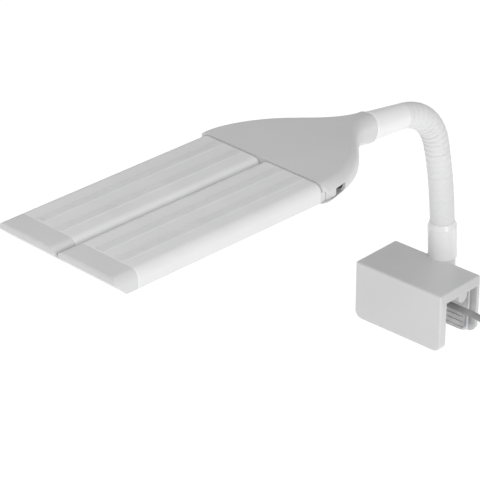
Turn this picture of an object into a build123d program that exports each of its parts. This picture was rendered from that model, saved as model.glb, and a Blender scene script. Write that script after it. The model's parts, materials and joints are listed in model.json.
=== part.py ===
"""Clip-on reading lamp: a clamp block, a flexible gooseneck and two light bars that fan out.

The origin is the middle of the clamp's fixed pad. +X runs along the clamp block, +Y points from
the pad to the moving jaw and +Z is up. The head reaches forward along -Y, turned a little about
the foot of the neck. Lengths are in millimetres.
"""
from math import cos, pi, radians, sin, tan
import os

from build123d import *

# Clamp block
BLOCK_L, BLOCK_W, BLOCK_H = 66.0, 37.5, 38.4
FRONT_WALL, BACK_WALL, ROOF = 5.4, 3.2, 6.5
PAD_T = 1.0
TOP_Z = 25.0
BOTTOM_Z = TOP_Z - BLOCK_H
FRONT_Y = -(FRONT_WALL + PAD_T)
BACK_Y = FRONT_Y + BLOCK_W
INNER_BACK_Y = BACK_Y - BACK_WALL
CEILING_Z = TOP_Z - ROOF
PILLAR_R, PILLAR_H = 8.0, 15.0
BOSS_R = 4.0

# Moving jaw and its screw
JAW_TRAVEL = 15.0
JAW_L, JAW_LOW, JAW_HIGH = 60.0, -11.8, 1.6
JAW_PLATE_T, JAW_PAD_T = 2.0, 1.6
JAW_BACK_Y = 25.4
SCREW_Z, SCREW_R, KNOB_R, KNOB_L = -5.2, 3.0, 7.4, 9.0

# Gooseneck: path length t starts at the foot, angles are measured from the vertical
NECK_Y = 35.75
FERRULE_L, FERRULE_R, SHOULDER_L = 24.0, 8.9, 3.0
SLEEVE_R, SLEEVE_BORE, CORE_R = 7.45, 4.6, 3.9
LEAN_START, LEAN_END, BEND_END, NECK_END = 3.8, 13.5, 60.0, 84.0
RISE_L, BEND_L, EASE_L = 56.4, 28.1, 15.7
JOINT_COUNT, JOINT_PITCH, JOINT_GAP = 6, 17.0, 3.0
UPPER_FERRULE_L, RING_L = 29.0, 1.2
HEAD_YAW = -2.4

# Head shell: distance forward of the neck axis, half width, bottom and top
HEAD_SECTIONS = (
    (70.4, 8.4, 126.2, 143.0), (80.0, 8.75, 127.2, 144.0), (88.0, 11.54, 129.0, 144.6),
    (97.0, 17.6, 129.8, 144.9), (108.0, 28.0, 130.4, 144.9), (122.0, 38.8, 130.8, 144.9),
    (136.0, 45.7, 132.1, 144.9), (147.0, 48.7, 132.1, 144.9), (156.8, 48.95, 132.1, 144.9))
HEAD_CORNER_R = 6.2
HEAD_FRONT = HEAD_SECTIONS[-1][0]
SHELL_T, FRONT_T, REAR_T, SPLIT_Z = 2.0, 1.4, 2.6, 134.6
SLOT_REAR, SLOT_BOTTOM, SLOT_TOP = 139.5, 133.7, 140.4

# Light bars
BAR_W, BAR_T, BAR_TOP, BAR_INNER = 45.5, 10.8, 144.0, 0.5
BAR_FRONT, BAR_SEAM, BAR_TIP = 158.0, 290.7, 306.2
BAR_R, BAR_WALL = 5.0, 1.5
RIB_BAND, RIB_BAND_X, RIB_COUNT, RIB_H = 6.6, 7.4, 6, 0.25
ROOT_REAR, ROOT_BOTTOM, ROOT_TOP = 141.8, 134.0, 140.0
PIVOT_S, PIVOT_X, PIVOT_R = 152.0, 43.0, 2.0
BAR_BOTTOM = BAR_TOP - BAR_T
BAR_X = BAR_INNER + BAR_W / 2

# Power lead
LEAD_R, LEAD_Y, LEAD_Z = 2.0, 15.6, 7.1
COIL_OUTER, COIL_INNER, COIL_X, TIE_T = 32.0, 12.0, 95.0, 0.6
PLUG_X, PLUG_L, PLUG_W, PLUG_H = 70.0, 28.0, 12.4, 8.0

os.makedirs("parts", exist_ok=True)


def save(shape, name):
    """Write one sub-part under its node name."""
    export_step(shape, f"parts/{name}.step")


def block(x0, x1, y0, y1, z0, z1):
    """A box between two corners."""
    return Pos((x0 + x1) / 2, (y0 + y1) / 2, (z0 + z1) / 2) * Box(x1 - x0, y1 - y0, z1 - z0)


def rod(start, direction, radius, length):
    """A cylinder from a start point along a direction."""
    return Plane(origin=start, z_dir=direction) * Cylinder(
        radius, length, align=(Align.CENTER, Align.CENTER, Align.MIN))


def yawed(shape):
    """Turn a piece of the neck or head with the head's rest direction."""
    return shape.rotate(Axis((0, NECK_Y, 0), (0, 0, 1)), HEAD_YAW)


def save_yawed(shape, name):
    save(yawed(shape), name)


def save_group(solids, name):
    """Several separate solids in one node."""
    save(Compound(list(solids)), name)


def save_yawed_group(solids, name):
    save_group([yawed(solid) for solid in solids], name)


# ---------------------------------------------------------------- neck path
def rotate_about(point, centre, angle):
    """Turn a (forward, up) point about a centre, towards forward."""
    ds, dz = point[0] - centre[0], point[1] - centre[1]
    c, s = cos(radians(angle)), sin(radians(angle))
    return (centre[0] + ds * c + dz * s, centre[1] - ds * s + dz * c)


def make_stretches():
    """The path as (start length, length, start angle, end angle, start point)."""
    spans = ((FERRULE_L, LEAN_START, LEAN_START), (RISE_L, LEAN_START, LEAN_END),
             (BEND_L, LEAN_END, BEND_END), (EASE_L, BEND_END, NECK_END),
             (UPPER_FERRULE_L + 8.0, NECK_END, NECK_END))
    rows, start, point = [], 0.0, (0.0, TOP_Z)
    for length, first, last in spans:
        rows.append((start, length, first, last, point))
        point = stretch_point(rows[-1], length)
        start += length
    return rows


def stretch_point(row, along):
    """The (forward, up) point at a length along one stretch."""
    _, length, first, last, point = row
    if first == last:
        return (point[0] + along * sin(radians(first)), point[1] + along * cos(radians(first)))
    radius = length / radians(last - first)
    centre = (point[0] + radius * cos(radians(first)), point[1] - radius * sin(radians(first)))
    return rotate_about(point, centre, (last - first) * along / length)


STRETCHES = make_stretches()
NECK_START = FERRULE_L
SLEEVE_END = FERRULE_L + RISE_L + BEND_L + EASE_L
RING_AT = SLEEVE_END + UPPER_FERRULE_L


def find_row(t):
    """The stretch that holds a path length."""
    return next(row for row in STRETCHES if t <= row[0] + row[1] + 1e-9)


def path_angle(t):
    start, length, first, last, _ = find_row(t)
    return first + (last - first) * (t - start) / length


def path_point(t):
    """A point of the neck's centre line, as a 3-D vector."""
    row = find_row(t)
    s, z = stretch_point(row, t - row[0])
    return Vector(0, NECK_Y - s, z)


def path_dir(t):
    a = radians(path_angle(t))
    return Vector(0, -sin(a), cos(a))


def path_wire(t0, t1):
    """The centre line between two lengths, as lines and arcs."""
    edges, at = [], t0
    while at < t1 - 1e-6:
        row = find_row(at + 1e-6)
        end = min(t1, row[0] + row[1])
        if row[2] == row[3]:
            edges.append(Line(path_point(at), path_point(end)))
        else:
            edges.append(ThreePointArc(path_point(at), path_point((at + end) / 2), path_point(end)))
        at = end
    return Wire(edges)


def neck_tube(t0, t1, outer, inner):
    """A hollow round piece that follows the neck."""
    wire = path_wire(t0, t1)
    plane = Plane(origin=path_point(t0), z_dir=path_dir(t0))
    solid = sweep(plane * Circle(outer), path=wire)
    if inner:
        solid -= sweep(plane * Circle(inner), path=wire)
    return solid


def joint_at(index):
    """Path length of a gooseneck joint, counted from 1."""
    first = (NECK_START + SLEEVE_END - (JOINT_COUNT - 1) * JOINT_PITCH) / 2
    return first + (index - 1) * JOINT_PITCH


# ---------------------------------------------------------------- clamp
def make_clamp_body():
    """Upside-down channel with the half-round pillar that carries the neck."""
    half = BLOCK_L / 2
    outer = block(-half, half, FRONT_Y, BACK_Y, BOTTOM_Z, TOP_Z)
    outer = fillet(outer.edges().filter_by(Axis.Y).group_by(Axis.Z)[0], 5.4)
    outer = fillet(outer.edges(), 1.2)
    throat = block(-half - 1, half + 1, FRONT_Y + FRONT_WALL, INNER_BACK_Y, BOTTOM_Z - 1, CEILING_Z)
    pillar = rod((0, NECK_Y, TOP_Z - PILLAR_H), (0, 0, 1), PILLAR_R, PILLAR_H)
    pillar = fillet(pillar.edges().group_by(Axis.Z)[0], 2.0)
    web = block(-PILLAR_R, PILLAR_R, INNER_BACK_Y + 1, NECK_Y, TOP_Z - PILLAR_H, TOP_Z - 0.2)
    web = fillet(web.edges().filter_by(Axis.X).group_by(Axis.Z)[0], 2.0)
    boss = rod((-half, 14.3, CEILING_Z - 1.2), (1, 0, 0), BOSS_R, BLOCK_L)
    boss = boss & block(-half, half, 0, INNER_BACK_Y, CEILING_Z - 8, CEILING_Z + 1)
    screw_boss = rod((0, INNER_BACK_Y + 0.5, SCREW_Z), (0, 1, 0), 6.0, BACK_WALL + 1.6)
    body = outer - throat + pillar + web + boss + screw_boss
    body -= rod((0, NECK_Y, TOP_Z - PILLAR_H + 3), (0, 0, 1), 5.2, PILLAR_H)
    body -= block(-2.2, 2.2, INNER_BACK_Y - 1, NECK_Y, TOP_Z - PILLAR_H + 3.2, TOP_Z - PILLAR_H + 7.4)
    body -= rod((0, INNER_BACK_Y - 1, SCREW_Z), (0, 1, 0), 4.4, BACK_WALL + 5)
    for x in (-24.0, 24.0):
        body -= rod((x, INNER_BACK_Y - 1, 10.5), (0, 1, 0), 1.1, 3.2)
    return body


def make_clamp():
    """Every fixed piece of the clamp."""
    save(make_clamp_body(), "clamp_body")
    pad = block(-27, 27, -PAD_T, 0, -12.0, 12.0)
    pad = fillet(pad.edges().filter_by(Axis.Y), 2.5)
    save(pad, "front_pad")

    bush = rod((0, INNER_BACK_Y, SCREW_Z), (0, 1, 0), 4.4, BACK_WALL + 2.1)
    bush -= rod((0, INNER_BACK_Y - 1, SCREW_Z), (0, 1, 0), SCREW_R, BACK_WALL + 5)
    save(bush, "screw_bush")

    cover = block(-30.5, 30.5, 23.3, 24.5, 3.4, 17.6)
    for x in (-24.0, 24.0):
        cover += block(x - 3, x + 3, 24.5, INNER_BACK_Y, 7.5, 13.5)
        cover -= rod((x, 22.0, 10.5), (0, 1, 0), 1.6, 8.0)
    cover -= block(-5.0, 5.0, 23.0, 25.0, 9.0, 17.0)
    save(cover, "wire_cover")
    screws = []
    for x in (-24.0, 24.0):
        head = rod((x, 22.5, 10.5), (0, 1, 0), 2.6, 0.8) - block(x - 0.4, x + 0.4, 22.0, 22.9, 8.7, 12.3)
        screws.append(head + rod((x, 23.3, 10.5), (0, 1, 0), 1.1, 6.5))
    save_group(screws, "cover_screws")

    gland = fillet(block(-14.0, -2.0, 11.2, 23.3, 2.4, 12.6).edges().filter_by(Axis.X), 1.5)
    gland -= rod((-12.0, LEAD_Y, LEAD_Z), (1, 0, 0), LEAD_R, 12.0)
    gland -= block(-10.5, -5.5, LEAD_Y, 24.0, LEAD_Z - 1.4, LEAD_Z + 1.4)
    relief = rod((-2.0, LEAD_Y, LEAD_Z), (1, 0, 0), 3.0, 4.0)
    relief -= rod((-2.0, LEAD_Y, LEAD_Z), (1, 0, 0), LEAD_R, 4.0)
    save(gland + relief, "lead_gland")

    wires = []
    for x in (-1.1, 1.1):
        down = rod((x, NECK_Y, TOP_Z - PILLAR_H + 5.2), (0, 0, 1), 0.8, 9.0)
        back = rod((x, 25.2, TOP_Z - PILLAR_H + 5.2), (0, 1, 0), 0.8, NECK_Y - 25.2)
        wires.append(down + back + Pos(x, NECK_Y, TOP_Z - PILLAR_H + 5.2) * Sphere(0.8))
    save_group(wires, "base_wires")


def make_jaw():
    """Sliding jaw, its rubber pad, and the screw that drives it."""
    half = JAW_L / 2
    plate = block(-half, half, JAW_BACK_Y - JAW_PLATE_T, JAW_BACK_Y, JAW_LOW, JAW_HIGH)
    plate = fillet(plate.edges().filter_by(Axis.Y), 3.0)
    plate -= rod((0, JAW_BACK_Y - 0.9, SCREW_Z), (0, 1, 0), 3.2, 2.0)
    save(plate, "jaw_plate")
    front = JAW_BACK_Y - JAW_PLATE_T
    pad = block(-half + 1.5, half - 1.5, front - JAW_PAD_T, front, JAW_LOW + 0.8, JAW_HIGH - 0.8)
    pad = fillet(pad.edges().filter_by(Axis.Y), 2.5)
    for row in range(3):
        z = JAW_LOW + 3.2 + row * 3.5
        pad -= block(-half, half, front - JAW_PAD_T - 1, front - JAW_PAD_T + 0.4, z - 0.5, z + 0.5)
    save(pad, "jaw_pad")

    rear = BACK_Y + JAW_TRAVEL + 3.0
    start = JAW_BACK_Y - 0.6
    shank = rod((0, start, SCREW_Z), (0, 1, 0), SCREW_R - 0.15, rear - start + 4)
    for turn in range(11):
        y = INNER_BACK_Y + 1.6 + turn * 1.5
        groove = rod((0, y, SCREW_Z), (0, 1, 0), SCREW_R + 1, 0.7)
        groove -= rod((0, y - 1, SCREW_Z), (0, 1, 0), SCREW_R - 0.45, 3)
        shank -= groove
    save(shank, "clamp_screw")
    knob = rod((0, rear, SCREW_Z), (0, 1, 0), KNOB_R, KNOB_L)
    knob = fillet(knob.edges().filter_by(GeomType.CIRCLE), 1.2)
    for index in range(10):
        a = radians(36 * index)
        x, z = (KNOB_R + 0.7) * cos(a), (KNOB_R + 0.7) * sin(a)
        knob -= rod((x, rear - 1, SCREW_Z + z), (0, 1, 0), 1.5, KNOB_L + 2)
    knob -= rod((0, rear - 1, SCREW_Z), (0, 1, 0), SCREW_R - 0.15, 5.0)
    save(knob, "clamp_knob")


# ---------------------------------------------------------------- neck
def make_ferrule(t0, length, radius_start, radius_end, edge):
    """A tapered socket on a straight stretch of the neck."""
    solid = Plane(origin=path_point(t0), z_dir=path_dir(t0)) * Cone(
        radius_start, radius_end, length, align=(Align.CENTER, Align.CENTER, Align.MIN))
    return fillet(solid.edges().filter_by(GeomType.CIRCLE), edge)


def make_neck():
    """Ferrules, sleeve sections and the jointed core."""
    sunk = 0.6
    lower = rod(path_point(0) - path_dir(0) * sunk, path_dir(0), FERRULE_R, FERRULE_L - SHOULDER_L + sunk)
    lower += Plane(origin=path_point(FERRULE_L - SHOULDER_L), z_dir=path_dir(0)) * Cone(
        FERRULE_R, SLEEVE_R + 0.15, SHOULDER_L, align=(Align.CENTER, Align.CENTER, Align.MIN))
    lower = lower & block(-20, 20, NECK_Y - 20, NECK_Y + 20, TOP_Z, TOP_Z + 60)
    lower -= rod(path_point(0) - path_dir(0) * sunk, path_dir(0), CORE_R + 0.1, FERRULE_L + 2)
    save_yawed(lower, "lower_ferrule")
    stub = rod((0, NECK_Y, TOP_Z - 7.0), (0, 0, 1), 5.1, 7.0) - rod((0, NECK_Y, TOP_Z - 8), (0, 0, 1), 2.6, 9)
    save_yawed(stub, "neck_stub")

    gap = JOINT_GAP / 2
    ends = [NECK_START] + [joint_at(i + 1) for i in range(JOINT_COUNT)] + [SLEEVE_END]
    for index in range(JOINT_COUNT + 1):
        t0 = ends[index] + (gap if index else 0.0)
        t1 = ends[index + 1] - (gap if index < JOINT_COUNT else 0.0)
        save_yawed(neck_tube(t0, t1, SLEEVE_R, SLEEVE_BORE), f"neck_sleeve_{index}")
        save_yawed(make_core(index, ends), f"neck_core_{index}")

    upper = make_ferrule(SLEEVE_END, UPPER_FERRULE_L, 7.55, 8.6, 0.5)
    upper -= rod(path_point(SLEEVE_END), path_dir(SLEEVE_END), CORE_R + 0.1, UPPER_FERRULE_L + 1)
    save_yawed(upper, "upper_ferrule")
    at = RING_AT + 0.15
    ring = rod(path_point(at), path_dir(at), 8.7, RING_L) - rod(path_point(at), path_dir(at), 4.2, RING_L)
    save_yawed(ring, "swivel_ring")
    pipe = rod(path_point(RING_AT - 6.0), path_dir(RING_AT), 3.6, 22.0)
    pipe += rod(path_point(RING_AT) + path_dir(RING_AT) * 6.3, path_dir(RING_AT), 5.4, 2.0)
    pipe -= rod(path_point(RING_AT - 7.0), path_dir(RING_AT), 2.4, 24.0)
    save_yawed(pipe, "swivel_pipe")


def make_core(index, ends):
    """One link of the core: a ball at its start, a cup at its end."""
    ball_r, cup_clear = 2.9, 0.25
    t0 = ends[index] if index else 3.0
    t1 = ends[index + 1] if index < JOINT_COUNT else SLEEVE_END + 12.0
    first = t0 + (4.6 if index else 0.0)
    link = neck_tube(first, t1 + (1.2 if index < JOINT_COUNT else 0.0), CORE_R, 0)
    if index:
        link += Pos(*path_point(t0)) * Sphere(ball_r)
        link += neck_tube(t0, first + 0.5, 1.7, 0)
    if index < JOINT_COUNT:
        point, way = path_point(t1), path_dir(t1)
        link -= Pos(*point) * Sphere(ball_r + cup_clear)
        link -= Plane(origin=point - way * 0.2, z_dir=way) * Cone(
            2.3, 4.2, 2.6, align=(Align.CENTER, Align.CENTER, Align.MIN))
    return link


# ---------------------------------------------------------------- head
def section(row, inset):
    """One rounded cross-section of the head shell, as a face across the forward direction."""
    s, half, low, high = row
    width, height = 2 * (half - inset), high - low - 2 * inset
    radius = min(HEAD_CORNER_R - inset, width / 2 - 0.1, height / 2 - 0.1)
    plane = Plane(origin=(0, NECK_Y - s, (low + high) / 2), x_dir=(1, 0, 0), z_dir=(0, -1, 0))
    return plane * RectangleRounded(width, height, radius)


def head_solid(inset, rear_wall, front_wall):
    """The whole head as one solid, its sides moved in by the inset and its ends by their walls."""
    rows = list(HEAD_SECTIONS)
    rows[0] = (rows[0][0] + rear_wall, *rows[0][1:])
    rows[-1] = (rows[-1][0] - front_wall, *rows[-1][1:])
    return loft([section(row, inset) for row in rows])


def pivot_places():
    return [(side * PIVOT_X, NECK_Y - PIVOT_S) for side in (-1, 1)]


def make_head():
    """Top shell, bottom cover and what they hold."""
    outer = head_solid(0.0, 0.0, 0.0)
    corner = block(-60, 60, NECK_Y - HEAD_FRONT - 1, NECK_Y - HEAD_FRONT + 12, 120, 150)
    keep = fillet(block(-49.6, 49.6, NECK_Y - HEAD_FRONT, NECK_Y, 120, 150).edges().filter_by(Axis.Z)
                  .group_by(Axis.Y)[0], 5.0)
    outer -= corner - keep
    shell = outer - head_solid(SHELL_T, REAR_T, FRONT_T)
    shell -= block(-60, 60, NECK_Y - HEAD_FRONT - 1, NECK_Y - SLOT_REAR, SLOT_BOTTOM, SLOT_TOP)
    ring_end = path_point(RING_AT) + path_dir(RING_AT) * (0.3 + RING_L)
    shell -= rod(ring_end - path_dir(RING_AT) * 12, path_dir(RING_AT), 30, 12)
    shell -= rod(path_point(RING_AT), path_dir(RING_AT), 3.75, 40)
    top = shell & block(-60, 60, -400, 400, SPLIT_Z, 160)
    bottom = shell & block(-60, 60, -400, 400, 100, SPLIT_Z)
    for x, y in pivot_places():
        top += rod((x, y, ROOT_TOP + 0.3), (0, 0, 1), 4.0, 4.3) & outer
        top -= rod((x, y, 130), (0, 0, 1), PIVOT_R, 13.0)
        bottom += rod((x, y, 132.0), (0, 0, 1), 4.0, 1.9) & outer
        bottom -= rod((x, y, 133.0), (0, 0, 1), PIVOT_R, 10.0)
    places = [(-20.0, NECK_Y - 128.0), (20.0, NECK_Y - 128.0), (0.0, NECK_Y - 104.0)]
    for x, y in places:
        post = rod((x, y, 135.0), (0, 0, 1), 3.0, 10.5) & outer
        top = top + post - rod((x, y, 130.0), (0, 0, 1), 1.1, 13.0)
        bottom = bottom + (rod((x, y, 132.0), (0, 0, 1), 3.4, 3.0) & outer)
        bottom -= rod((x, y, 125.0), (0, 0, 1), 1.5, 12.0)
        bottom -= rod((x, y, 125.0), (0, 0, 1), 2.9, 7.4)
    button_y = NECK_Y - 118.0
    bottom -= rod((0, button_y, 120.0), (0, 0, 1), 5.3, 16.0)
    save_yawed(top, "head_top_shell")
    save_yawed(bottom, "head_bottom_cover")
    screws = [rod((x, y, 131.4), (0, 0, 1), 2.4, 1.0) + rod((x, y, 132.4), (0, 0, 1), 1.1, 9.0)
              for x, y in places]
    save_yawed_group(screws, "head_screws")

    pins = [rod((x, y, 133.1), (0, 0, 1), PIVOT_R - 0.05, 9.6) for x, y in pivot_places()]
    save_yawed_group(pins, "pivot_pins")

    board = block(-15.0, 15.0, NECK_Y - 124.0, NECK_Y - 109.0, 138.6, 140.2)
    save_yawed(board, "driver_board")
    parts = [block(-12.0, -6.0, NECK_Y - 121.0, NECK_Y - 115.0, 140.2, 142.2),
             block(4.0, 12.0, NECK_Y - 120.0, NECK_Y - 114.0, 140.2, 141.8),
             rod((-9.0, NECK_Y - 112.0, 140.2), (0, 0, 1), 1.8, 2.2)]
    save_yawed_group(parts, "driver_parts")
    switch = block(-4.0, 4.0, button_y - 4.0, button_y + 4.0, 136.2, 138.6)
    save_yawed(switch, "push_switch")

    button = rod((0, button_y, 129.6), (0, 0, 1), 5.0, 4.2)
    button = fillet(button.edges().group_by(Axis.Z)[0], 1.2)
    button += rod((0, button_y, 133.8), (0, 0, 1), 6.4, 1.0)
    save_yawed(button, "power_button")


# ---------------------------------------------------------------- bars
def bar_profile(inset, bottom_extra, ribs):
    """Cross-section of a bar, centred across its width, as a face across the forward direction."""
    half = BAR_W / 2 - inset
    high, low = BAR_TOP - inset, BAR_BOTTOM - bottom_extra
    radius = BAR_R - inset
    plane = Plane(origin=(BAR_X, 0, 0), x_dir=(1, 0, 0), z_dir=(0, -1, 0))
    face = Pos(0, (high + low) / 2) * Rectangle(2 * half, high - low)
    face = fillet(face.vertices().group_by(Axis.Y)[-1], radius)
    if not inset:
        face = fillet(face.vertices().group_by(Axis.Y)[0], 0.8)
    if ribs:
        pitch = RIB_BAND / RIB_COUNT
        for side in (-1, 1):
            for index in range(RIB_COUNT):
                x = side * RIB_BAND_X - RIB_BAND / 2 + (index + 0.5) * pitch
                face += Pos(x, BAR_TOP) * Rectangle(pitch * 0.62, RIB_H * 2)
    return plane * face


def prism(face, s0, s1):
    """Extrude a bar face from one forward distance to another."""
    return Pos(0, NECK_Y - s0, 0) * extrude(face, amount=s1 - s0, dir=(0, -1, 0))


def both_sides(shape, name):
    """Write the right-hand piece and its mirror image."""
    save_yawed(shape, f"right_{name}")
    save_yawed(mirror(shape, about=Plane.YZ), f"left_{name}")


def make_cap():
    """Wedge-shaped end cap: flat on top, its underside sloping up to a thin nose."""
    cap = prism(bar_profile(0.0, 0.0, False), BAR_SEAM + 0.5, BAR_TIP)
    x0, x1 = BAR_X - BAR_W / 2, BAR_X + BAR_W / 2
    slope_start, nose = BAR_SEAM + 8.0, 3.6
    cut = [(slope_start - NECK_Y, BAR_BOTTOM - 1), (slope_start - NECK_Y, BAR_BOTTOM),
           (BAR_TIP - NECK_Y + 0.01, BAR_TOP - nose), (BAR_TIP - NECK_Y + 2, BAR_TOP - nose),
           (BAR_TIP - NECK_Y + 2, BAR_BOTTOM - 1)]
    wedge = extrude(Plane(origin=(x0 - 1, 0, 0), x_dir=(0, -1, 0), z_dir=(-1, 0, 0)) * make_face(
        Polyline(*cut, close=True)), amount=-(x1 - x0 + 2))
    cap -= wedge
    keep = block(x0 - 0.2, x1 + 0.2, NECK_Y - BAR_TIP, NECK_Y, BAR_BOTTOM - 1, BAR_TOP)
    keep = fillet(keep.edges().filter_by(Axis.Z).group_by(Axis.Y)[0], 2.8)
    keep = fillet(keep.edges().group_by(Axis.Z)[-1].group_by(Axis.Y)[0], 1.2)
    return cap & keep


def make_bars():
    """The pieces of each light bar."""
    shell = prism(bar_profile(0.0, 0.0, True), BAR_FRONT, BAR_SEAM)
    shell -= prism(bar_profile(BAR_WALL, 2.0, False), BAR_FRONT - 1, BAR_SEAM + 1)
    both_sides(shell, "bar_shell")
    gasket = prism(bar_profile(0.0, 0.0, False), BAR_SEAM, BAR_SEAM + 0.5)
    both_sides(gasket, "bar_gasket")
    both_sides(make_cap(), "end_cap")

    x0, x1 = BAR_X - BAR_W / 2, BAR_X + BAR_W / 2
    root = prism(bar_profile(0.0, 0.0, False), HEAD_FRONT + 0.35, BAR_FRONT)
    root += block(x0 + 1.6, x1 - 1.6, NECK_Y - BAR_FRONT - 3.5, NECK_Y - BAR_FRONT,
                  BAR_BOTTOM + 2.1, BAR_TOP - 4.2)
    plate = block(x0 + 0.4, x1, NECK_Y - HEAD_FRONT - 0.7, NECK_Y - ROOT_REAR, ROOT_BOTTOM, ROOT_TOP)
    plate = fillet(plate.edges().filter_by(Axis.Z).group_by(Axis.Y)[-1], 6.0)
    groove = block(x1 - 0.5, x1 + 1, NECK_Y - 154.4, NECK_Y - 153.6, 130, 150)
    root = root + plate - groove
    root -= rod((PIVOT_X, NECK_Y - PIVOT_S, 130), (0, 0, 1), PIVOT_R + 0.15, 15)
    root -= rod((14.0, NECK_Y - ROOT_REAR + 1, 137.0), (0, -1, 0), 1.6, 24)
    both_sides(root, "bar_root")

    s0, s1 = BAR_FRONT + 1.0, BAR_SEAM - 1.0
    board = block(x0 + 5.8, x1 - 5.8, NECK_Y - s1, NECK_Y - s0, BAR_TOP - 3.1, BAR_TOP - 1.5)
    both_sides(board, "led_board")
    leds = []
    for row in (-1, 1):
        for index in range(14):
            s = s0 + 6.0 + index * (s1 - s0 - 12.0) / 13
            x = BAR_X + row * 8.0
            leds.append(block(x - 1.75, x + 1.75, NECK_Y - s - 1.4, NECK_Y - s + 1.4, BAR_TOP - 4.0, BAR_TOP - 3.1))
    save_yawed_group(leds, "right_leds")
    save_yawed_group([mirror(led, about=Plane.YZ) for led in leds], "left_leds")
    diffuser = block(x0 + 1.6, x1 - 1.6, NECK_Y - BAR_SEAM + 0.1, NECK_Y - BAR_FRONT - 0.1,
                     BAR_BOTTOM + 0.1, BAR_BOTTOM + 1.9)
    both_sides(diffuser, "diffuser")


# ---------------------------------------------------------------- power lead
def lead_path(points):
    """Straight runs joined by the largest tangent arcs that the runs allow."""
    vectors = [Vector(*p) for p in points]
    radii = []
    for before, at, after in zip(vectors, vectors[1:], vectors[2:]):
        turn = (at - before).get_angle(after - at)
        radii.append(0.45 * min((at - before).length, (after - at).length) / tan(radians(turn) / 2))
    print("lead radii", [round(r, 1) for r in radii])
    return FilletPolyline(*points, radius=radii)


def make_lead():
    """The lead as it leaves the clamp, its stored coil, the tie and the plug."""
    rest_z = BOTTOM_Z + TIE_T
    floor = rest_z + LEAD_R
    coil_y = LEAD_Y + COIL_OUTER - LEAD_R
    points = [(2.0, LEAD_Y, LEAD_Z), (25.0, LEAD_Y - 0.1, LEAD_Z + 0.1), (47.0, LEAD_Y + 0.1, LEAD_Z - 0.2),
              (58.5, LEAD_Y - 0.2, LEAD_Z - 4.1), (69.5, LEAD_Y, floor + 4.9), (81.0, LEAD_Y + 0.1, floor + 0.2),
              (93.0, LEAD_Y, floor)]
    coil = Pos(COIL_X, coil_y, rest_z + LEAD_R * 2) * (
        Cylinder(COIL_OUTER, LEAD_R * 4) - Cylinder(COIL_INNER, LEAD_R * 4))
    path = lead_path(points)
    lead = sweep(Plane(origin=points[0], z_dir=(1, 0, 0)) * Circle(LEAD_R), path=path)
    print("lead volume ratio", round(lead.volume / (pi * LEAD_R ** 2 * path.length), 4))
    save(lead - coil, "power_lead")
    save(coil, "lead_coil")

    tail_y = coil_y + COIL_OUTER - LEAD_R
    tail_z = BOTTOM_Z + PLUG_H / 2
    save(rod((PLUG_X, tail_y, tail_z), (1, 0, 0), LEAD_R, COIL_X - PLUG_X) - coil, "lead_tail")
    body = block(PLUG_X - PLUG_L, PLUG_X, tail_y - PLUG_W / 2, tail_y + PLUG_W / 2,
                 BOTTOM_Z, BOTTOM_Z + PLUG_H)
    save(fillet(body.edges().filter_by(Axis.X), 2.0), "plug_grip")
    end = PLUG_X - PLUG_L
    shell = block(end - 12.0, end, tail_y - 6.0, tail_y + 6.0, tail_z - 2.25, tail_z + 2.25)
    shell -= block(end - 13.0, end - 0.5, tail_y - 5.6, tail_y + 5.6, tail_z - 1.85, tail_z + 1.85)
    save(shell, "plug_shell")
    save(block(end - 11.4, end - 0.5, tail_y - 5.4, tail_y + 5.4, tail_z - 0.1, tail_z + 1.75), "plug_tongue")

    x0, x1 = COIL_X + COIL_INNER - 0.6, COIL_X + COIL_OUTER + 0.1
    top = rest_z + LEAD_R * 4 + 0.1
    tie = block(x0 - TIE_T, x1 + TIE_T, coil_y - 3.5, coil_y + 3.5, BOTTOM_Z, top + TIE_T)
    tie -= block(x0, x1, coil_y - 5, coil_y + 5, rest_z, top)
    save(tie, "coil_tie")


def make_all():
    make_clamp()
    make_jaw()
    make_neck()
    make_head()
    make_bars()
    make_lead()


make_all()
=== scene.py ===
"""Looks of the clip-on reading lamp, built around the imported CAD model."""
import json
from math import cos, pi, radians, sin, tau

import bpy
from mathutils import Matrix, Vector


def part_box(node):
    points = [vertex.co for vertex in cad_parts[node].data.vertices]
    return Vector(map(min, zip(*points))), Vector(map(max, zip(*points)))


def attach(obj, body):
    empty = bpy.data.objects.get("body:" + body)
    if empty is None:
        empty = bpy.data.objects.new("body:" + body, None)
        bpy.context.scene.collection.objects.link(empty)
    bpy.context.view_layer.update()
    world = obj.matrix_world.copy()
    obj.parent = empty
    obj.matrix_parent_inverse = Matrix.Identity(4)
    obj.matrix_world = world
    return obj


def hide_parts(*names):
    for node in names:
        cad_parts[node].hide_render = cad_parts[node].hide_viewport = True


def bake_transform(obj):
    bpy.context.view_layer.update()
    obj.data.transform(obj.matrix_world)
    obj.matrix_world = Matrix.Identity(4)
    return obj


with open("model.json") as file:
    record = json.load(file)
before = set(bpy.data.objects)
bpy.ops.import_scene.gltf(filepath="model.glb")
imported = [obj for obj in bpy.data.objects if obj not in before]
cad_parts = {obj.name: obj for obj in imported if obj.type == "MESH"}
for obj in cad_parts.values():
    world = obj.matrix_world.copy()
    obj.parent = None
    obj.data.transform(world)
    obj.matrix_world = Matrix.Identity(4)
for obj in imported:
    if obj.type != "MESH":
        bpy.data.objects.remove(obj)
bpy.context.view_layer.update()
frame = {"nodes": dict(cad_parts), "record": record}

MM = 0.001

# Shared dimensions of the CAD model, in metres
BLOCK_LOW, BLOCK_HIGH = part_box("clamp_body")
TOP_Z = BLOCK_HIGH.z
FLOOR_Z = BLOCK_LOW.z
NECK_Y = 35.75 * MM
HEAD_YAW = radians(-2.4)

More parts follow.
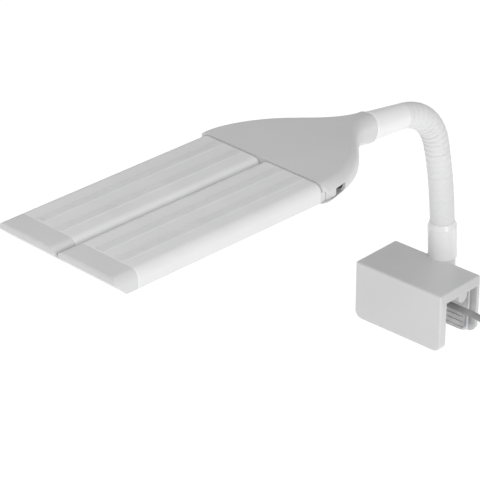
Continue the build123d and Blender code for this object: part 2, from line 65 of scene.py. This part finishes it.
# Gooseneck path: (length, first angle, last angle), angles in degrees from the vertical
NECK_SPANS = ((24.0 * MM, 3.8, 3.8), (56.4 * MM, 3.8, 13.5), (28.1 * MM, 13.5, 60.0),
              (15.7 * MM, 60.0, 84.0), (37.0 * MM, 84.0, 84.0))
SLEEVE_START = 24.0 * MM
SLEEVE_END = 124.2 * MM
JOINT_COUNT, JOINT_PITCH = 6, 17.0 * MM
FIRST_JOINT = (SLEEVE_START + SLEEVE_END - (JOINT_COUNT - 1) * JOINT_PITCH) / 2

# Power lead
LEAD_R = 2.0 * MM


# ---------------------------------------------------------------- materials
def new_material(name, color, roughness, **sockets):
    """A Principled material; extra keyword sockets use underscores for spaces."""
    mat = bpy.data.materials.new(name)
    mat.use_nodes = True
    shader = mat.node_tree.nodes["Principled BSDF"]
    shader.inputs["Base Color"].default_value = (*color, 1.0)
    shader.inputs["Roughness"].default_value = roughness
    for key, value in sockets.items():
        shader.inputs[key.replace("_", " ")].default_value = value
    return mat


def link_noise(mat, scale, detail, stretch=(1, 1, 1)):
    """A noise texture in object space, stretched along the axes."""
    nodes, links = mat.node_tree.nodes, mat.node_tree.links
    coords = nodes.new("ShaderNodeTexCoord")
    mapping = nodes.new("ShaderNodeMapping")
    mapping.inputs["Scale"].default_value = stretch
    noise = nodes.new("ShaderNodeTexNoise")
    noise.inputs["Scale"].default_value = scale
    noise.inputs["Detail"].default_value = detail
    links.new(coords.outputs["Object"], mapping.inputs["Vector"])
    links.new(mapping.outputs["Vector"], noise.inputs["Vector"])
    return noise


def add_bump(mat, source, strength, distance):
    """Raise the surface by a texture."""
    nodes, links = mat.node_tree.nodes, mat.node_tree.links
    bump = nodes.new("ShaderNodeBump")
    bump.inputs["Strength"].default_value = strength
    bump.inputs["Distance"].default_value = distance
    links.new(source, bump.inputs["Height"])
    links.new(bump.outputs["Normal"], nodes["Principled BSDF"].inputs["Normal"])


def vary(mat, socket, source, low, high):
    """Drive a scalar socket with a texture, between two values."""
    nodes, links = mat.node_tree.nodes, mat.node_tree.links
    span = nodes.new("ShaderNodeMapRange")
    span.inputs["To Min"].default_value = low
    span.inputs["To Max"].default_value = high
    links.new(source, span.inputs["Value"])
    links.new(span.outputs["Result"], nodes["Principled BSDF"].inputs[socket])


def vary_color(mat, source, dark, light):
    """Drive the base colour with a texture, between two colours."""
    nodes, links = mat.node_tree.nodes, mat.node_tree.links
    ramp = nodes.new("ShaderNodeValToRGB")
    ramp.color_ramp.elements[0].position = 0.3
    ramp.color_ramp.elements[0].color = (*dark, 1.0)
    ramp.color_ramp.elements[1].position = 0.7
    ramp.color_ramp.elements[1].color = (*light, 1.0)
    links.new(source, ramp.inputs["Fac"])
    links.new(ramp.outputs["Color"], nodes["Principled BSDF"].inputs["Base Color"])


def plastic(name, level, roughness, grain=0.05, coat=0.0):
    """Moulded plastic: faint spark-eroded grain, slow mottling in tone and gloss."""
    tone = (level, level, level * 1.005)
    mat = new_material(name, tone, roughness, Coat_Weight=coat, Coat_Roughness=0.12)
    slow = link_noise(mat, 35.0, 3.0)
    vary_color(mat, slow.outputs["Fac"], [c * 0.975 for c in tone], [min(1.0, c * 1.015) for c in tone])
    vary(mat, "Roughness", slow.outputs["Fac"], roughness - 0.04, roughness + 0.05)
    fine = link_noise(mat, 2600.0, 2.0)
    add_bump(mat, fine.outputs["Fac"], grain, 0.00005)
    return mat


def brushed(name, color, roughness, stretch):
    """Metal with fine lines along one direction."""
    mat = new_material(name, color, roughness, Metallic=1.0)
    lines = link_noise(mat, 900.0, 4.0, stretch)
    vary(mat, "Roughness", lines.outputs["Fac"], roughness - 0.08, roughness + 0.12)
    add_bump(mat, lines.outputs["Fac"], 0.08, 0.00003)
    return mat


def rubber(name, level, roughness):
    """Soft rubber with a matt, slightly dusty surface."""
    tone = (level, level, level)
    mat = new_material(name, tone, roughness)
    dust = link_noise(mat, 220.0, 5.0)
    vary_color(mat, dust.outputs["Fac"], [c * 0.85 for c in tone], [c * 1.2 for c in tone])
    fine = link_noise(mat, 3000.0, 2.0)
    add_bump(mat, fine.outputs["Fac"], 0.2, 0.00008)
    return mat


def make_materials():
    """Every finish, by the record's slot name."""
    finishes = {
        "housing": plastic("housing_plastic", 0.70, 0.34),
        "bar_shell": plastic("bar_powder_coat", 0.81, 0.42, grain=0.12),
        "sleeve": plastic("sleeve_vinyl", 0.79, 0.45, grain=0.08),
        "ferrule": plastic("ferrule_gloss", 0.9, 0.25, coat=0.2),
        "ring": plastic("ring_gloss", 0.97, 0.2, coat=0.3),
        "pad": rubber("pad_rubber", 0.55, 0.6),
        "steel": brushed("zinc_steel", (0.62, 0.63, 0.65), 0.3, (1, 1, 30)),
        "brass": brushed("turned_brass", (0.75, 0.58, 0.30), 0.28, (1, 1, 40)),
        "lead": rubber("lead_sheath", 0.30, 0.5),
        "plug": rubber("plug_grip_plastic", 0.24, 0.45),
        "plug_metal": brushed("plated_shell", (0.80, 0.80, 0.82), 0.18, (30, 1, 1)),
        "plug_insert": plastic("insert_plastic", 0.88, 0.3),
        "wire": rubber("wire_insulation", 0.25, 0.5),
        "board": plastic("white_board", 0.80, 0.5),
        "driver_board": plastic("green_board", 0.30, 0.4),
        "chips": plastic("chip_bodies", 0.05, 0.4),
        "led": plastic("led_phosphor", 0.85, 0.35),
        "diffuser": plastic("opal_diffuser", 0.90, 0.28, coat=0.1),
    }
    tint(finishes["led"], (0.95, 0.80, 0.30), (0.98, 0.86, 0.42))
    tint(finishes["driver_board"], (0.03, 0.20, 0.08), (0.05, 0.27, 0.11))
    tint(finishes["wire"], (0.45, 0.05, 0.04), (0.60, 0.07, 0.05))
    return finishes


def tint(mat, dark, light):
    """Recolour a material's mottling."""
    ramp = next(node for node in mat.node_tree.nodes if node.type == "VALTORGB").color_ramp
    ramp.elements[0].color = (*dark, 1.0)
    ramp.elements[1].color = (*light, 1.0)


def paint(obj, mat):
    """Give an object one material."""
    obj.data.materials.clear()
    obj.data.materials.append(mat)


# ---------------------------------------------------------------- gooseneck path
def yaw_point(point):
    """Turn a point about the foot of the neck by the head's rest direction."""
    foot = Vector((0, NECK_Y, 0))
    return foot + Matrix.Rotation(HEAD_YAW, 3, "Z") @ (Vector(point) - foot)


def make_path():
    """Rows of (start length, length, first angle, last angle, start point) in the neck's plane."""
    rows, start, point = [], 0.0, (0.0, TOP_Z)
    for length, first, last in NECK_SPANS:
        rows.append((start, length, radians(first), radians(last), point))
        point = row_point(rows[-1], length)
        start += length
    return rows


def row_point(row, along):
    """The (forward, up) point at a length along one row."""
    _, length, first, last, (s, z) = row
    if first == last:
        return (s + along * sin(first), z + along * cos(first))
    radius = length / (last - first)
    angle = first + (last - first) * along / length
    return (s + radius * (cos(first) - cos(angle)), z + radius * (sin(angle) - sin(first)))


PATH = make_path()


def path_row(t):
    """The row that holds a path length."""
    return next((row for row in PATH if t <= row[0] + row[1]), PATH[-1])


def path_frame(t):
    """Centre, tangent, and the direction towards the inside of the bend, at a path length."""
    row = path_row(t)
    s, z = row_point(row, t - row[0])
    angle = row[2] + (row[3] - row[2]) * (t - row[0]) / row[1]
    turn = Matrix.Rotation(HEAD_YAW, 3, "Z")
    centre = yaw_point((0, NECK_Y - s, z))
    tangent = turn @ Vector((0, -sin(angle), cos(angle)))
    inward = turn @ Vector((0, -cos(angle), -sin(angle)))
    return centre, tangent, inward


def joint_at(index):
    """Path length of a gooseneck joint, counted from 1."""
    return FIRST_JOINT + (index - 1) * JOINT_PITCH


# ---------------------------------------------------------------- mesh helpers
def mesh_object(name, verts, faces, smooth=True):
    """A linked mesh object from vertices and faces."""
    mesh = bpy.data.meshes.new(name)
    mesh.from_pydata([tuple(v) for v in verts], [], faces)
    mesh.update()
    for polygon in mesh.polygons:
        polygon.use_smooth = smooth
    obj = bpy.data.objects.new(name, mesh)
    bpy.context.scene.collection.objects.link(obj)
    return obj


def grid_faces(rows, columns, closed=True):
    """Quads between rings of points; closed joins the last column to the first."""
    faces = []
    for row in range(rows - 1):
        for column in range(columns if closed else columns - 1):
            after = (column + 1) % columns
            faces.append((row * columns + column, row * columns + after,
                          (row + 1) * columns + after, (row + 1) * columns + column))
    return faces


# ---------------------------------------------------------------- sleeve
WRINKLE_PITCH = 4.25 * MM
RIB_PITCH = 1.62 * MM
SLEEVE_R, SLEEVE_BORE = 7.45 * MM, 5.2 * MM
ROW_STEP, BLEND_REACH = 0.27 * MM, 7.5 * MM
AROUND = 72


def wrinkle_depth(t, inward_share):
    """How far the sleeve is drawn in at a path length; inward_share is 1 inside the bend."""
    bend = 1.0 / (1.0 + ((t - 98.0 * MM) / (20.0 * MM)) ** 4)
    fade = min(1.0, max(0.0, (t - 38.0 * MM) / (30.0 * MM)))
    u = ((t - FIRST_JOINT) / WRINKLE_PITCH) % 1.0
    crease = max(0.0, 1.0 - min(u / 0.22, (1.0 - u) / 0.36)) ** 1.3
    side = 0.5 + 0.5 * inward_share
    fold = crease * (0.2 * fade + 1.05 * bend * side ** 0.9) * MM
    bulge = (0.45 * sin(pi * u) * side ** 1.5 + 0.7 * side ** 3) * bend * MM
    rib = 0.05 * MM * cos(tau * t / RIB_PITCH)
    return fold - bulge + rib


def make_sleeve(index, ends, finish):
    """One joint's stretch of the corrugated sleeve."""
    t0, t1 = ends
    rows = max(8, round((t1 - t0) / ROW_STEP))
    verts = []
    for row in range(rows + 1):
        t = t0 + (t1 - t0) * row / rows
        centre, tangent, inward = path_frame(t)
        side = tangent.cross(inward)
        for column in range(AROUND):
            a = tau * column / AROUND
            radius = SLEEVE_R - wrinkle_depth(t, cos(a))
            verts.append(centre + (inward * cos(a) + side * sin(a)) * radius)
    inner = []
    for t in (t1, t0):
        centre, tangent, inward = path_frame(t)
        side = tangent.cross(inward)
        for column in range(AROUND):
            a = tau * column / AROUND
            inner.append(centre + (inward * cos(a) + side * sin(a)) * SLEEVE_BORE)
    verts += inner
    faces = grid_faces(rows + 3, AROUND)
    last = (rows + 2) * AROUND
    for column in range(AROUND):
        after = (column + 1) % AROUND
        faces.append((last + column, last + after, after, column))
    sleeve = mesh_object(f"sleeve_joint_{index}", verts, faces)
    paint(sleeve, finish)
    return sleeve


def make_sleeves(finish):
    """Sleeve stretches, each bending across one gooseneck joint."""
    middles = [SLEEVE_START] + [joint_at(i) + JOINT_PITCH / 2 for i in range(1, JOINT_COUNT)] + [SLEEVE_END]
    for index in range(1, JOINT_COUNT + 1):
        sleeve = make_sleeve(index, (middles[index - 1], middles[index]), finish)
        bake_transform(sleeve)
        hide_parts(f"neck_sleeve_{index}")
        if index == 1:
            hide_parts("neck_sleeve_0")


# ---------------------------------------------------------------- power lead
LEAD_Y, LEAD_Z = 15.6 * MM, 7.1 * MM
REST_Z = FLOOR_Z + 0.6 * MM
COIL_X, COIL_OUTER = 95.0 * MM, 32.0 * MM
TURN_RADII = [radius * MM for radius in (30.0, 26.0, 22.0, 18.0, 14.0, 18.0, 22.0, 26.0, 30.0)]
LIFT_TURN, TURN_COUNT, POINTS_PER_TURN = 4, 8.5, 16
PLUG_END = 70.0 * MM


def smooth_step(value, low, high):
    """A smooth step from 0 at low to 1 at high."""
    share = min(1.0, max(0.0, (value - low) / (high - low)))
    return share * share * (3 - 2 * share)


def coil_point(turns, centre_y, floor):
    """A point of the stored coil: five turns inwards on the table, then outwards on top of them."""
    index = int(turns)
    radius = TURN_RADII[index]
    if index + 1 < len(TURN_RADII):
        radius += (TURN_RADII[index + 1] - radius) * smooth_step(turns - index, 5 / 6, 1.0)
    lift = smooth_step(turns, LIFT_TURN + 0.44, LIFT_TURN + 0.64) * LEAD_R * 2
    angle = tau * turns - pi / 2
    return (COIL_X + radius * cos(angle), centre_y + radius * sin(angle), floor + lift)


def lead_points():
    """The lead's route: out of the gland, down to the table, round the stored coil, to the plug."""
    floor = REST_Z + LEAD_R
    centre_y = LEAD_Y + COIL_OUTER - LEAD_R
    points = [(2.0 * MM, LEAD_Y, LEAD_Z), (25.0 * MM, LEAD_Y - 0.1 * MM, LEAD_Z + 0.1 * MM),
              (47.0 * MM, LEAD_Y + 0.1 * MM, LEAD_Z - 0.2 * MM),
              (58.5 * MM, LEAD_Y - 0.2 * MM, LEAD_Z - 4.1 * MM),
              (69.5 * MM, LEAD_Y, floor + 4.9 * MM), (81.0 * MM, LEAD_Y + 0.1 * MM, floor + 0.2 * MM)]
    for step in range(round(TURN_COUNT * POINTS_PER_TURN) + 1):
        points.append(coil_point(step / POINTS_PER_TURN, centre_y, floor))
    tail_y, top, plug_z = points[-1][1], points[-1][2], FLOOR_Z + 4.0 * MM
    points += [(88.0 * MM, tail_y, top - 0.5 * MM), (79.0 * MM, tail_y, plug_z + 0.3 * MM),
               (74.0 * MM, tail_y, plug_z), (PLUG_END, tail_y, plug_z)]
    return points


def make_lead(finish):
    """The whole lead as one curve, from the gland to the plug."""
    points = lead_points()
    curve = bpy.data.curves.new("power_lead_cord", "CURVE")
    curve.dimensions = "3D"
    curve.bevel_depth = LEAD_R
    curve.bevel_resolution = 6
    curve.resolution_u = 6
    curve.use_fill_caps = True
    spline = curve.splines.new("NURBS")
    spline.points.add(len(points) - 1)
    for point, place in zip(spline.points, points):
        point.co = (*place, 1.0)
    spline.order_u = 3
    spline.use_endpoint_u = True
    lead = bpy.data.objects.new("power_lead_cord", curve)
    bpy.context.scene.collection.objects.link(lead)
    lead.data.materials.append(finish)
    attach(lead, "root")
    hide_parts("power_lead", "lead_coil", "lead_tail")
    return lead


# ---------------------------------------------------------------- stage
CAMERA_AZIMUTH, CAMERA_TILT = radians(42.7), radians(27.995)
CAMERA_PLACE = Vector((849.6, -1065.7, 771.5)) * MM
CAMERA_LENS, SENSOR = 195.0, 36.0


def make_camera():
    """The main view of the lamp."""
    a, e = CAMERA_AZIMUTH, CAMERA_TILT
    right = Vector((cos(a), sin(a), 0))
    up = Vector((-sin(a) * sin(e), cos(a) * sin(e), cos(e)))
    back = right.cross(up)
    data = bpy.data.cameras.new("camera")
    data.lens = CAMERA_LENS
    data.sensor_width = SENSOR
    data.clip_end = 50
    camera = bpy.data.objects.new("camera", data)
    turn = Matrix((right, up, back)).transposed()
    camera.matrix_world = Matrix.Translation(CAMERA_PLACE) @ turn.to_4x4()
    bpy.context.scene.collection.objects.link(camera)
    bpy.context.scene.camera = camera


def area_light(name, place, aim, size, power):
    """A soft round light aimed at a point."""
    data = bpy.data.lights.new(name, "AREA")
    data.shape = "DISK"
    data.size = size
    data.energy = power
    light = bpy.data.objects.new(name, data)
    light.location = place
    light.rotation_euler = (Vector(aim) - Vector(place)).to_track_quat("-Z", "Y").to_euler()
    bpy.context.scene.collection.objects.link(light)


def make_stage():
    """White floor that glows evenly, grey surround and four soft lights."""
    size = 6.0
    corners = [(-size, -size, FLOOR_Z), (size, -size, FLOOR_Z),
               (size, size, FLOOR_Z), (-size, size, FLOOR_Z)]
    floor = mesh_object("floor", corners, [(0, 1, 2, 3)], smooth=False)
    mat = new_material("floor_paper", (0.25, 0.25, 0.25), 0.9, Emission_Strength=0.92)
    mat.node_tree.nodes["Principled BSDF"].inputs["Emission Color"].default_value = (1, 1, 1, 1)
    mat.node_tree.nodes["Principled BSDF"].inputs["Specular IOR Level"].default_value = 0.0
    paint(floor, mat)
    world = bpy.data.worlds.new("surround")
    world.use_nodes = True
    world.node_tree.nodes["Background"].inputs["Color"].default_value = (1, 1, 1, 1)
    world.node_tree.nodes["Background"].inputs["Strength"].default_value = 0.36
    bpy.context.scene.world = world
    bpy.context.scene.view_settings.view_transform = "Standard"
    area_light("key_right", (1.5, -0.5, 0.7), (0, -0.05, 0.08), 0.8, 8.2)
    area_light("fill_front", (0.2, -1.8, 0.6), (0, -0.05, 0.08), 1.0, 1.2)
    area_light("top_soft", (0.3, -0.4, 1.8), (0, -0.1, 0.1), 1.2, 3.5)
    area_light("tips_soft", (0.0, -0.42, 0.55), (0, -0.25, 0.14), 0.4, 0.5)


# ---------------------------------------------------------------- assemble
def paint_frame(finishes):
    """Give every CAD node the finish of its slot."""
    slots = {part["node"]: part["material_slot"] for part in frame["record"]["subparts"]}
    for name, obj in frame["nodes"].items():
        paint(obj, finishes[slots[name]])


make_camera()
finishes = make_materials()
paint_frame(finishes)
make_lead(finishes["lead"])
make_sleeves(finishes["sleeve"])
make_stage()
